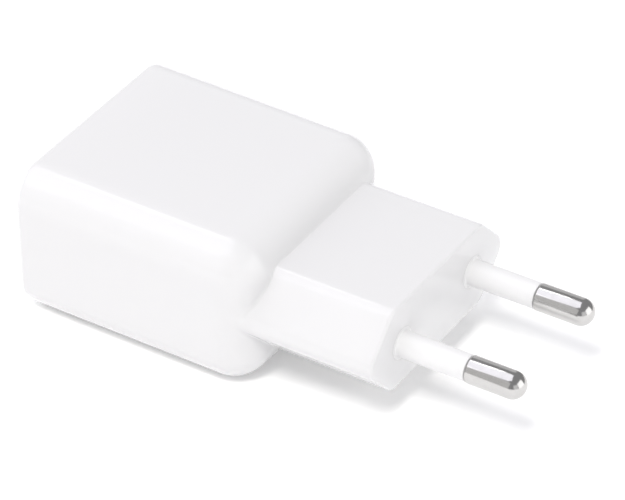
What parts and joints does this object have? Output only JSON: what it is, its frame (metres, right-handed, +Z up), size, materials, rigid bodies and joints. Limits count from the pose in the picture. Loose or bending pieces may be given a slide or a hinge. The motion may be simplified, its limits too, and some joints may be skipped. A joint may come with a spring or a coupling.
{
  "type": "usb wall charger",
  "caption": "White USB wall charger with a rounded box body, a flat two-pin mains plug on one end and a USB type A socket in the other.",
  "frame": {"origin": "middle of the plug's end face, half way between the two pins", "axes": "+Y along the pins into the wall socket, +Z up out of the large upper face, +X to the right seen from the USB end; the charger lies on its large lower face"},
  "size_m": [0.0372, 0.0761, 0.0234],
  "materials": {
    "white_plastic": "satin-gloss white moulded plastic",
    "sleeve_plastic": "semi-matt white insulating sleeve",
    "nickel_plate": "bright nickel-plated brass pin",
    "socket_steel": "plated folded sheet steel",
    "gold_plate": "gold-plated spring contact",
    "spring_bronze": "bare phosphor-bronze leaf spring",
    "board_green": "green solder mask on glass-fibre board",
    "ferrite": "dull dark grey ground ferrite",
    "bobbin_black": "matt black moulded insulator",
    "tape_yellow": "copper winding wrapped in yellow polyester tape",
    "copper_wire": "enamelled copper wire",
    "capacitor_black": "black heat-shrink sleeve on an aluminium can",
    "capacitor_green": "dark green heat-shrink sleeve on an aluminium can",
    "ceramic_blue": "blue lacquered ceramic disc",
    "resistor_grey": "grey-green flameproof lacquer",
    "chip_black": "black epoxy moulding",
    "optocoupler_white": "off-white epoxy moulding",
    "insulating_card": "tan insulating fish-paper card"
  },
  "bodies": {
    "root": {"housing": "white_plastic", "usb_face_plate": "white_plastic", "pin_left": "nickel_plate", "pin_right": "nickel_plate", "pin_sleeve_left": "sleeve_plastic", "pin_sleeve_right": "sleeve_plastic", "pin_contact_left": "spring_bronze", "pin_contact_right": "spring_bronze", "usb_shell": "socket_steel", "usb_tongue": "bobbin_black", "usb_contact_1": "gold_plate", "usb_contact_2": "gold_plate", "usb_contact_3": "gold_plate", "usb_contact_4": "gold_plate", "main_board": "board_green", "transformer_core_lower": "ferrite", "transformer_core_upper": "ferrite", "transformer_bobbin": "bobbin_black", "transformer_winding": "tape_yellow", "input_capacitor_1": "capacitor_black", "input_capacitor_2": "capacitor_black", "output_capacitor_1": "capacitor_green", "output_capacitor_2": "capacitor_green", "choke_core": "ferrite", "choke_winding": "copper_wire", "y_capacitor": "ceramic_blue", "optocoupler": "optocoupler_white", "fuse_resistor": "resistor_grey", "insulating_barrier": "insulating_card", "bridge_rectifier": "chip_black", "controller_chip": "chip_black", "output_rectifier": "chip_black"}
  },
  "joints": []
}
